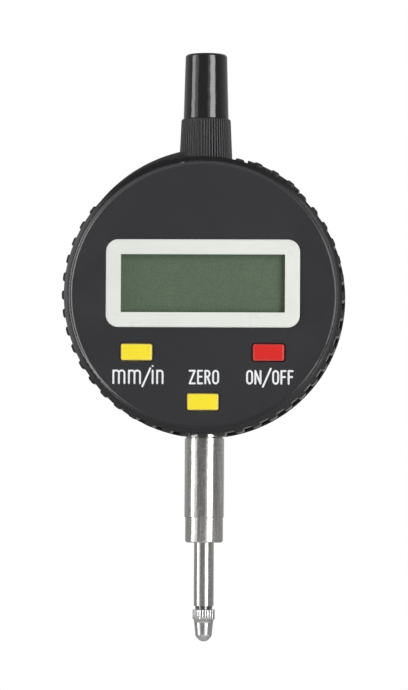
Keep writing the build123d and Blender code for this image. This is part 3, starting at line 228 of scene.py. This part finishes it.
def plastic(slot, rough=0.45, grain_mm=0.22, depth_mm=0.006, mottle=0.1, edge_mm=0.12, wear_and_highlight=0.25,
            shine=0.5, deep=1.0, rub_and_highlight=0.12, groove_mm=0.0, pale=0.0):
    """Moulded plastic: spark-eroded grain, slightly uneven gloss, edges worn lighter, partly as a
    painted highlight, and, with groove_mm, painted shade in the grooves about that deep. With
    pale, the rounded edges of the front get a painted highlight, nearer to white by that share."""
    finish = Finish(slot)
    colour = [c * deep for c in COLOURS[slot][:3]]
    normal, edges = finish.round_edges(edge_mm)
    # Edges worn lighter; where the lightening is strong, as on the case, it is also a painted highlight
    rubbed_and_lit = toward(colour, max(colour + [RUBBED_AND_LIT_GREY]), rub_and_highlight)
    least = 0
    # With pale, the lighter front edges are a painted highlight
    if pale:
        edges = finish.front_edges()
        rubbed_and_lit = toward(colour, 1, pale)
        least = LEAST_PALE * wear_and_highlight
    scuffs_and_highlight = finish.times(edges, finish.spread(finish.noise(SCUFF_MM, 4), least, wear_and_highlight, 0.4, 0.7))
    body = finish.tint(finish.noise(CLOUD_MM, 2), colour, 1 - mottle, 1 + mottle)
    body = finish.blend(scuffs_and_highlight, body, rubbed_and_lit)
    # Painted shade: grooves darkened where other surfaces stand close by
    if groove_mm:
        body = finish.blend(finish.grooves(groove_mm), body, shade(colour, 0.12))
    finish.feed("Base Color", body)
    finish.feed("Roughness", finish.spread(finish.noise(3.0, 4), rough - 0.05, rough + 0.05))
    finish.feed("Normal", finish.bump(finish.noise(grain_mm, 3), depth_mm, normal))
    finish.set(Specular_IOR_Level=shine)
    return finish


def face(slot):
    """The face plate's plastic: its convex rim is glossier, and outside its inner slope its colour is
    darkened as painted shade.
    """
    finish = plastic(slot, 0.38, 0.16, 0.004, 0.05, deep=0.68)
    body = finish.shader.inputs["Base Color"].links[0].from_socket
    far = finish.from_case_axis()
    # Painted shade: the rim's band outside its inner slope is darkened, with a gloss of its own
    outer = finish.spread(far, 0, 1, RIM_FOOT_R + 0.6 * MM, RIM_FOOT_R + 0.85 * MM)
    finish.feed("Base Color", finish.blend(outer, body, shade(COLOURS[slot], 0.3)))
    slope = finish.spread(far, 0, 1, RIM_FOOT_R, RIM_FOOT_R + 0.1 * MM)
    gloss = finish.blend(slope, grey(0.38), grey(0.18))
    finish.feed("Roughness", finish.blend(outer, gloss, grey(0.28)))
    sheen = finish.blend(slope, grey(0.35), grey(0.7))
    finish.feed("Specular IOR Level", finish.blend(outer, sheen, grey(0.42)))
    return finish


def case(slot):
    """The case's plastic, with painted shade on the flange at the foot of the gaps between the ribs."""
    # Its edges turn lighter than other plastics' edges; beyond wearing, this is a painted highlight on
    # the rib and flange edges
    finish = plastic(slot, 0.42, 0.2, 0.008, edge_mm=0.3, wear_and_highlight=1.0, shine=0.4, rub_and_highlight=0.3, groove_mm=0.5)
    body = finish.shader.inputs["Base Color"].links[0].from_socket
    split = finish.add("ShaderNodeSeparateXYZ")
    finish.tree.links.new(finish.place, split.inputs[0])
    depth = split.outputs["Y"]
    far = finish.from_case_axis()
    housing = [v.co for v in frame["nodes"]["housing"].data.vertices]
    flange_y = min(v.y for v in housing if hypot(v.x, v.z - CASE_Z) > RIB_R + 0.05 * MM)
    # Painted shade: the flange's front between the ribs, where their shadow falls, is darkened and given
    # less shine
    painted_gap_shade = finish.times(finish.spread(depth, 0, 1, flange_y - 1.2 * MM, flange_y - 0.2 * MM),
                           finish.spread(depth, 1, 0, flange_y + 0.1 * MM, flange_y + 0.2 * MM),
                           finish.spread(far, 0, 1, WALL_R - 0.1 * MM, WALL_R),
                           finish.spread(far, 1, 0, WALL_R + 0.25 * MM, WALL_R + 0.4 * MM))
    finish.feed("Base Color", finish.blend(painted_gap_shade, body, shade(COLOURS[slot], 0.25)))
    finish.feed("Specular IOR Level", finish.spread(painted_gap_shade, 0.4, 0.08, 0, 1))
    return finish


def metal(slot, rough=0.2, lines_mm=0.03, depth_mm=0.0008, mottle=0.06, stretch=(40, 40, 1), streak=0.0):
    """Ground or turned metal: fine lines drawn out round the piece, with faint cloudy handling marks
    and, with streak, darker and lighter streaks and specks drawn out along it."""
    finish = Finish(slot)
    normal = finish.round_edges(METAL_EDGE_MM)[0]
    body = finish.tint(finish.noise(2.5, 4), COLOURS[slot], 1 - mottle, 1 + mottle)
    if streak:
        drawn = finish.tint(finish.noise(0.3, 3, (1, 1, 14)), COLOURS[slot], 1 - streak, 1 + streak)
        strong = streak * 1.3
        specks = finish.tint(finish.noise(0.28, 2, (1, 1, 1.6)), COLOURS[slot], 1 - strong, 1 + strong)
        body = finish.blend(0.6, body, finish.blend(0.45, drawn, specks))
    finish.feed("Base Color", body)
    finish.feed("Roughness", finish.spread(finish.noise(1.2, 4), rough - 0.04, rough + 0.05))
    lines = finish.bump(finish.noise(lines_mm, 2, stretch), depth_mm, normal)
    if streak:
        lines = finish.bump(finish.noise(0.32, 2, (1, 1, 1.5)), streak * 0.006, lines)
    finish.feed("Normal", lines)
    finish.set(Metallic=1.0)
    return finish


def pane():
    """Clear moulded pane: seen through, with a faint reflection from its outside."""
    finish = Finish("clear_pane")
    tree = finish.tree
    clear = finish.add("ShaderNodeBsdfTransparent")
    clear.inputs["Color"].default_value = (0.98, 0.99, 0.98, 1)
    gloss = finish.add("ShaderNodeBsdfGlossy")
    tree.links.new(finish.spread(finish.noise(6.0, 3), 0.03, 0.07), gloss.inputs["Roughness"])
    gleam = finish.add("ShaderNodeFresnel")
    gleam.inputs["IOR"].default_value = 1.45
    inside = finish.add("ShaderNodeNewGeometry").outputs["Backfacing"]
    share = finish.times(gleam.outputs["Fac"], finish.spread(inside, 1, 0, 0, 1))
    mix = finish.add("ShaderNodeMixShader")
    for socket, source in enumerate((share, clear.outputs[0], gloss.outputs[0])):
        tree.links.new(source, mix.inputs[socket])
    tree.links.new(mix.outputs[0], tree.nodes["Material Output"].inputs["Surface"])
    return finish


BACKLIGHT = 1.08


def display():
    """Grey-green display glass, faintly mottled, made lighter by what light the layers behind return."""
    finish = Finish("lcd_glass")
    lit = [c * BACKLIGHT for c in COLOURS["lcd_glass"][:3]]
    coarse = finish.tint(finish.noise(1.6, 5), lit, 0.88, 1.12)
    fine = finish.tint(finish.noise(0.3, 2), lit, 0.6, 1.4)
    finish.feed("Base Color", finish.blend(0.5, coarse, fine))
    finish.feed("Roughness", finish.spread(finish.noise(0.8, 3), 0.38, 0.5))
    finish.feed("Normal", finish.bump(finish.noise(0.2, 2), 0.004))
    finish.set(Specular_IOR_Level=0.4)
    return finish


FINISHES = {
    "case_plastic": case("case_plastic"),
    "face_plastic": face("face_plastic"),
    "white_plastic": plastic("white_plastic", 0.32, 0.3, 0.002, 0.02, 0.1, 1.0, deep=1.03, pale=0.8),
    "clear_pane": pane(),
    "lcd_glass": display(),
    "lcd_back": plastic("lcd_back", 0.4),
    "rubber": plastic("rubber", 0.7, 0.15, 0.01, 0.15),
    "board": plastic("board", 0.35, 0.4, 0.006, 0.15),
    "resin": plastic("resin", 0.18, 0.8, 0.01, 0.1),
    "yellow_plastic": plastic("yellow_plastic", 0.3, 0.25, 0.002, 0.03, 0.1, 1.0,
                              shine=0.35, deep=1.04, pale=0.22),
    "red_plastic": plastic("red_plastic", 0.3, 0.25, 0.002, 0.04, 0.1, 1.0,
                           shine=0.26, deep=0.96, pale=0.1),
    "cell_steel": metal("cell_steel", 0.3, 0.2, 0.002, 0.08, (1, 1, 1)),
    "contact_gold": metal("contact_gold", 0.25, 0.2, 0.001, 0.06, (1, 1, 1)),
    "stem_steel": metal("stem_steel", 0.17, 0.05, 0.0008, 0.06, streak=0.5),
    "spindle_steel": metal("spindle_steel", 0.15, 0.04, 0.0006, 0.06, streak=0.35),
    "point_steel": metal("point_steel", 0.13, 0.06, 0.001, 0.08, streak=0.3),
    "ball_steel": metal("ball_steel", 0.1, 0.3, 0.0004, 0.04, (1, 1, 1)),
    "screw_steel": metal("screw_steel", 0.3, 0.15, 0.002, 0.1, (1, 1, 1)),
    "spring_steel": metal("spring_steel", 0.25, 0.1, 0.001, 0.08, (1, 1, 1)),
    "brass": metal("brass", 0.28, 0.06, 0.001, 0.06),
    "aluminium": metal("aluminium", 0.35, 0.12, 0.002, 0.06, (1, 1, 8)),
    "collar_plastic": plastic("collar_plastic", 0.2, 0.2, 0.003, 0.1, 0.03, 0.4, groove_mm=0.25),
    "cap_plastic": plastic("cap_plastic", 0.1, 0.6, 0.0005, 0.1, 0.2, 0.1, shine=0.95, deep=0.45),
}


# Pieces
WELD = 0.0005 * MM
NEAR = 0.02 * MM
SHARP_ANGLE = 30
FLAT_COS = 0.999

# Their flat fronts and backs keep their own normals, since smoothing over the rounded edges beside
# them leaves patches
FLAT_FRONTS = ("lcd_frame", "rear_cover")


def body_of(node):
    return frame["nodes"][node]["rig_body"]


def finish_piece(piece, slot, body):
    piece.data.materials.clear()
    piece.data.materials.append(FINISHES[slot].material)
    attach(piece, body)


def even_normals(piece):
    """Turns each corner's normal towards its larger faces, so that flats and long walls shade true."""
    even = piece.modifiers.new("even", "WEIGHTED_NORMAL")
    even.keep_sharp = True
    even.mode = "FACE_AREA"
    even.weight = 100
    graph = bpy.context.evaluated_depsgraph_get()
    piece.data = bpy.data.meshes.new_from_object(piece.evaluated_get(graph), depsgraph=graph)
    piece.modifiers.clear()


def smooth_copy(node, name, rework=None):
    """The node's own shape with smooth shading over its blunter edges; rework changes the copy
    first."""
    mesh = frame["nodes"][node].data.copy()
    work = bmesh.new()
    work.from_mesh(mesh)
    bmesh.ops.remove_doubles(work, verts=work.verts, dist=WELD)
    if rework:
        rework(work)
    work.to_mesh(mesh)
    work.free()
    mesh.shade_smooth()
    mesh.set_sharp_from_angle(angle=radians(SHARP_ANGLE))
    if node in FLAT_FRONTS:
        for face in mesh.polygons:
            face.use_smooth = abs(face.normal.y) < FLAT_COS
    piece = bpy.data.objects.new(name, mesh)
    bpy.context.scene.collection.objects.link(piece)
    even_normals(piece)
    finish_piece(piece, SLOTS[node], body_of(node))
    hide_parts(node)
    return piece


# Height of the rim over the face plate, by distance out from its foot, both in millimetres
RIM_PROFILE = ((0, 0), (0.44, 0.34), (0.8, 0.54), (1.2, 0.33), (1.5, 0.16), (1.75, 0))
RIM_H = 0.8


def lower_rim(work):
    """Lays the face plate's rim lower than the solid's, with a gentler inner slope."""
    face_y = COVER_LOW.y + RIM_H * MM
    for v in work.verts:
        out = (hypot(v.co.x, v.co.z - CASE_Z) - RIM_FOOT_R) / MM
        if v.co.y > face_y - 0.01 * MM or out < 0.01:
            continue
        for (u0, h0), (u1, h1) in zip(RIM_PROFILE, RIM_PROFILE[1:]):
            if u0 <= out <= u1:
                v.co.y = face_y - (h0 + (h1 - h0) * (out - u0) / (u1 - u0)) * MM


# The collar's ribs; its shoulder is the solid's, and the one shown is rounder and smaller
COLLAR_RIBS = 56
COLLAR_RIB_DEEP = 0.2
COLLAR_SHOULDER = 0.6
SHOWN_SHOULDER = 0.35
RIB_SWELL = 0.05
RIB_STEPS = 10


def round_ribs(work):
    """Puts round-backed ribs with sharp grooves in place of the collar's flat-sided ones."""
    low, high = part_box("cap_collar")
    foot_z = low.z
    foot_r = high.x + RIB_SWELL * MM
    top_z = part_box("dust_cap")[0].z
    seat_r = max(hypot(v.co.x, v.co.y) for v in work.verts if abs(v.co.z - top_z) < NEAR)
    top_r = seat_r + (COLLAR_SHOULDER + RIB_SWELL) * MM
    outer = []
    for face in work.faces:
        middle = face.calc_center_median()
        flat = max(v.co.z for v in face.verts) - min(v.co.z for v in face.verts) < 0.001 * MM
        if hypot(middle.x, middle.y) > seat_r and not flat and middle.z < top_z:
            outer.append(face)
    bmesh.ops.delete(work, geom=outer, context="FACES")
    shoulder = SHOWN_SHOULDER * MM
    heights = [(foot_z, foot_r), (top_z - shoulder, foot_r)]
    heights += [(top_z - shoulder * (1 - sin(radians(a))), top_r - shoulder * (1 - cos(radians(a))))
                for a in range(15, 91, 15)]
    heights.append((top_z, seat_r))
    rings = []
    for z, limit in heights:
        cone = foot_r + (top_r - foot_r) * (z - foot_z) / (top_z - foot_z)
        ring = []
        for i in range(COLLAR_RIBS * RIB_STEPS):
            across = 2 * (i % RIB_STEPS) / RIB_STEPS - 1
            r = min(cone - COLLAR_RIB_DEEP * MM * (1 - (1 - across ** 2) ** 0.5), limit)
            turn = tau * i / (COLLAR_RIBS * RIB_STEPS)
            ring.append(work.verts.new((r * cos(turn), r * sin(turn), z)))
        rings.append(ring)
    for under, over in zip(rings, rings[1:]):
        for i in range(len(under)):
            work.faces.new((under[i - 1], under[i], over[i], over[i - 1]))


CAP_SWELL_TOP = 0.04
CAP_SWELL_FOOT = 0.14


def swell_cap(work):
    """Widens the dust cap's outside a little, more at its foot."""
    low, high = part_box("dust_cap")
    hollow_r = min(hypot(v.co.x, v.co.y) for v in work.verts if v.co.z < low.z + NEAR)
    for v in work.verts:
        r = hypot(v.co.x, v.co.y)
        if r > hollow_r + 0.1 * MM:
            up = (v.co.z - low.z) / (high.z - low.z)
            swell = CAP_SWELL_FOOT + (CAP_SWELL_TOP - CAP_SWELL_FOOT) * up
            wider = 1 + swell * MM / high.x
            v.co.x *= wider
            v.co.y *= wider


REWORKED = {"front_cover": lower_rim, "cap_collar": round_ribs, "dust_cap": swell_cap}

for node, thing in frame["nodes"].items():
    thing.data.materials.clear()
    thing.data.materials.append(FINISHES[SLOTS[node]].material)

shown = {node: smooth_copy(node, f"{node}_shown", REWORKED.get(node)) for node in frame["nodes"]}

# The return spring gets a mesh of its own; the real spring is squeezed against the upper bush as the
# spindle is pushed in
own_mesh(shown["return_spring"])


# Printed labels, in millimetres
BUTTON_PROUD = 0.6
FACE_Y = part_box("button_unit")[0].y + BUTTON_PROUD * MM
INK_T = 0.02
LAYER = 0.0004
STROKE = 0.37
LETTER_H = 2.5
LABEL_BASE = -17.5
DOT_RISE = 0.89
SLASH_DROP = 0.62
SLASH_RISE = 0.45
SLASH_GAP = 0.1
ARC_STEPS = 8
END_STEPS = 12


def ink():
    """Printed white ink, thin in places."""
    finish = Finish("ink")
    finish.feed("Base Color", finish.tint(finish.noise(0.25, 3), (0.9, 0.91, 0.92), 0.92, 1.0))
    finish.feed("Roughness", finish.spread(finish.noise(0.5, 3), 0.4, 0.55))
    finish.feed("Normal", finish.bump(finish.noise(0.12, 2), 0.002))
    return finish


INK = ink()


def arc(cx, cy, rx, ry, start, end):
    """Points on an ellipse, from one angle to another in degrees."""
    return [
        (cx + rx * cos(radians(start + (end - start) * i / ARC_STEPS)),
         cy + ry * sin(radians(start + (end - start) * i / ARC_STEPS)))
        for i in range(ARC_STEPS + 1)
    ]


def oval(w, h):
    """The middle line of an O."""
    r = w / 2
    top = arc(r, h - r * 1.2, r, r * 1.2, 0, 180)
    bottom = arc(r, r * 1.2, r, r * 1.2, 180, 360)
    return top + bottom + top[:1]


def arch(x, w, h):
    """The hump of an n or m: up from the stem, over and down."""
    return [(x, h - 0.8)] + arc(x + w / 2, h - w * 0.45, w / 2, w * 0.45, 180, 0) + [(x + w, 0)]


def letter(sign, h):
    """A letter of height h: its width, and the middle lines of its strokes."""
    half = h * 0.53
    if sign == "Z":
        return 1.02, [[(0, h), (1.02, h), (0, 0), (1.02, 0)]]
    if sign == "E":
        return 0.8, [[(0.8, h), (0, h), (0, 0), (0.8, 0)], [(0, half), (0.7, half)]]
    if sign == "F":
        return 0.8, [[(0.8, h), (0, h), (0, 0)], [(0, half), (0.7, half)]]
    if sign == "R":
        r = (h - half) / 2
        bowl = [(0, h), (0.4, h)] + arc(0.4, h - r, r * 0.75, r, 90, -90) + [(0, half)]
        return 0.9, [[(0, 0), (0, h)], bowl, [(0.42, half), (0.9, 0)]]
    if sign == "O":
        return 1.0, [oval(1.0, h)]
    if sign == "N":
        return 1.02, [[(0, 0), (0, h), (1.02, 0), (1.02, h)]]
    if sign == "n":
        return 1.08, [[(0, 0), (0, h)], arch(0, 1.08, h)]
    if sign == "m":
        return 2.2, [[(0, 0), (0, h)], arch(0, 1.1, h), arch(1.1, 1.1, h)]
    if sign == "i":
        return 0.0, [[(0, 0), (0, h)], [(0, h + DOT_RISE)]]
    return 1.55, [[(0, -SLASH_DROP), (1.55, h + SLASH_RISE)]]


def ribbon(work, points, height):
    """A flat inked stroke along points, with round joints and ends, its first layer at height above
    the face and each next one a little higher; the height of the next free layer comes back."""
    half = STROKE / 2
    for (x0, y0), (x1, y1) in zip(points, points[1:]):
        run = hypot(x1 - x0, y1 - y0)
        if run == 0:
            continue
        nx = -(y1 - y0) / run * half
        ny = (x1 - x0) / run * half
        corners = [(x0 + nx, y0 + ny), (x0 - nx, y0 - ny), (x1 - nx, y1 - ny), (x1 + nx, y1 + ny)]
        work.faces.new([work.verts.new((x * MM, -height * MM, y * MM)) for x, y in corners])
        height += LAYER
    for x, y in points:
        turns = [tau * i / END_STEPS for i in reversed(range(END_STEPS))]
        rim = [(x + half * cos(turn), y + half * sin(turn)) for turn in turns]
        work.faces.new([work.verts.new((a * MM, -height * MM, b * MM)) for a, b in rim])
        height += LAYER
    return height


def label(name, word, left, gap):
    """A printed word: its left end in mm from the case's centre, and the gap between its letters."""
    work = bmesh.new()
    x = left + STROKE / 2
    for sign, after in zip(word, word[1:] + " "):
        width, strokes = letter(sign, LETTER_H)
        rise = INK_T
        for stroke in strokes:
            rise = ribbon(work, [(x + px, LABEL_BASE + py) for px, py in stroke], rise)
        x += width + STROKE + (SLASH_GAP if "/" in (sign, after) else gap)
    bmesh.ops.recalc_face_normals(work, faces=work.faces)
    for face in work.faces:
        if face.normal.y > 0:
            face.normal_flip()
    mesh = bpy.data.meshes.new(name)
    work.to_mesh(mesh)
    work.free()
    piece = bpy.data.objects.new(name, mesh)
    piece.location = (0, FACE_Y, CASE_Z)
    bpy.context.scene.collection.objects.link(piece)
    finish_piece(piece, "white_plastic", "case")
    piece.data.materials[0] = INK.material


label("label_unit", "mm/in", -17.8, 0.52)
label("label_zero", "ZERO", -2.7, 0.27)
label("label_power", "ON/OFF", 8.66, 0.26)


# Studio, in metres and degrees
MIDDLE = (0, 0, 0.03)
LAMP_FAR = 0.6
LAMP_UP = 9
LAMP_H = 0.68
ROOM_FRONT = 0.18
ROOM_BACK = 0.5
TABLE = 0.35
FILL = 0.7
FLOOR_Z = -0.22
FLOOR_R = 0.8
FLOOR_SIDES = 96
FLOOR_GLOW = 0.45

# Where the room, the horizon and the backdrop begin and end, in the direction of sight
ROOM_SPAN = (-0.3, 0.7)
HORIZON = (0.01, -0.04)
BACKDROP_RIM = (0.9, 0.97)

PHOTO_H = 690
FOCAL_PX = 3495
SENSOR_MM = 36
CAMERA_FAR = 0.704
CAMERA_AIM = (-0.0002, 0, 0.0268)
CAMERA_YAW = 2.15
CAMERA_PITCH = -2.0
CAMERA_ROLL = 0.29


def aim(thing, target, tilt=0.0):
    """Turns a lamp or camera to look at target, rolled anticlockwise by tilt degrees."""
    back = (thing.location - Vector(target)).normalized()
    side = Vector((0, 0, 1)).cross(back).normalized()
    up = back.cross(side)
    roll = radians(tilt)
    right = side * cos(roll) + up * sin(roll)
    over = up * cos(roll) - side * sin(roll)
    thing.rotation_euler = Matrix((right, over, back)).transposed().to_euler()


def heading(azimuth, elevation):
    """Unit vector from the object: azimuth 0 towards the reader and 90 to the right."""
    a = radians(azimuth)
    e = radians(elevation)
    return Vector((sin(a) * cos(e), -cos(a) * cos(e), sin(e)))


def lamp(name, azimuth, width, glow):
    """A tall soft box: how wide it looks in degrees, and its brightness, white being 1."""
    data = bpy.data.lights.new(name, "AREA")
    data.shape = "RECTANGLE"
    data.size = 2 * LAMP_FAR * tan(radians(width / 2))
    data.size_y = LAMP_H
    data.energy = glow * pi * data.size * data.size_y
    light = bpy.data.objects.new(name, data)
    light.location = Vector(MIDDLE) + heading(azimuth, LAMP_UP) * LAMP_FAR
    bpy.context.scene.collection.objects.link(light)
    aim(light, MIDDLE)


camera_data = bpy.data.cameras.new("camera")
camera_data.sensor_width = SENSOR_MM
camera_data.lens = FOCAL_PX / PHOTO_H * SENSOR_MM
camera_data.clip_start = 0.01
camera = bpy.data.objects.new("camera", camera_data)
camera.location = Vector(CAMERA_AIM) + heading(CAMERA_YAW, CAMERA_PITCH) * CAMERA_FAR
bpy.context.scene.collection.objects.link(camera)
aim(camera, CAMERA_AIM, CAMERA_ROLL)
bpy.context.scene.camera = camera

lamp("right_box", 37, 26, 4.6)
lamp("right_veil", 17, 12, 0.5)
lamp("left_box", -69, 19, 3.2)
lamp("left_veil", -50, 17, 0.8)

# Metal and gloss mirror a dim room in front and a paler one at the sides; straight behind the
# object stands the white backdrop, which only the light that falls on the object leaves out
world = bpy.data.worlds.new("studio")
world.use_nodes = True
bpy.context.scene.world = world
tree = world.node_tree


def world_node(kind, inputs, **settings):
    """A node of the world: inputs are sources to link, or values."""
    node = tree.nodes.new(kind)
    for key, value in settings.items():
        setattr(node, key, value)
    for socket, value in inputs.items():
        if hasattr(value, "is_linked"):
            tree.links.new(value, node.inputs[socket])
        else:
            node.inputs[socket].default_value = value
    return node


def world_ramp(source, span, low, high):
    """Source, which runs over span, as a number from low to high."""
    return world_node("ShaderNodeMapRange", {
        "Value": source, "From Min": span[0], "From Max": span[1], "To Min": low, "To Max": high,
    }).outputs[0]


def world_mix(share, first, second):
    return world_node("ShaderNodeMix", {0: share, 2: first, 3: second}).outputs[0]


rays = world_node("ShaderNodeLightPath", {}).outputs
sight = world_node("ShaderNodeTexCoord", {}).outputs["Generated"]
split = world_node("ShaderNodeSeparateXYZ", {0: sight})
room = world_ramp(split.outputs["Y"], ROOM_SPAN, ROOM_FRONT, ROOM_BACK)
table = world_mix(world_ramp(split.outputs["Z"], HORIZON, 0.0, 1.0), room, TABLE)
backdrop = world_mix(world_ramp(split.outputs["Y"], BACKDROP_RIM, 0.0, 1.0), table, 1.0)
mirrored = world_node("ShaderNodeMath", {0: rays["Is Glossy Ray"], 1: rays["Is Transmission Ray"]},
                      operation="MAXIMUM").outputs[0]
fill = world_node("ShaderNodeMath", {0: table, 1: FILL}, operation="MULTIPLY").outputs[0]
shown_light = world_mix(rays["Is Camera Ray"], world_mix(mirrored, fill, backdrop), 1.0)
tree.links.new(shown_light, tree.nodes["Background"].inputs["Strength"])
tree.nodes["Background"].inputs["Color"].default_value = (1, 1, 1, 1)

work = bmesh.new()
bmesh.ops.create_circle(work, cap_ends=True, segments=FLOOR_SIDES, radius=FLOOR_R)
floor_mesh = bpy.data.meshes.new("floor")
work.to_mesh(floor_mesh)
work.free()
floor = bpy.data.objects.new("floor", floor_mesh)
floor.location = (0, 0, FLOOR_Z)
bpy.context.scene.collection.objects.link(floor)
paper = Finish("paper")
paper.feed("Base Color", paper.tint(paper.noise(30.0, 3), (0.86, 0.86, 0.85), 0.98, 1.02))
paper.feed("Roughness", paper.spread(paper.noise(2.0, 3), 0.6, 0.75))
seen = paper.add("ShaderNodeLightPath").outputs["Is Camera Ray"]
paper.feed("Emission Strength", paper.spread(seen, 0, FLOOR_GLOW, 0, 1))
paper.set(Emission_Color=(1, 1, 1, 1))
floor.data.materials.append(paper.material)

bpy.context.scene.view_settings.view_transform = "Standard"
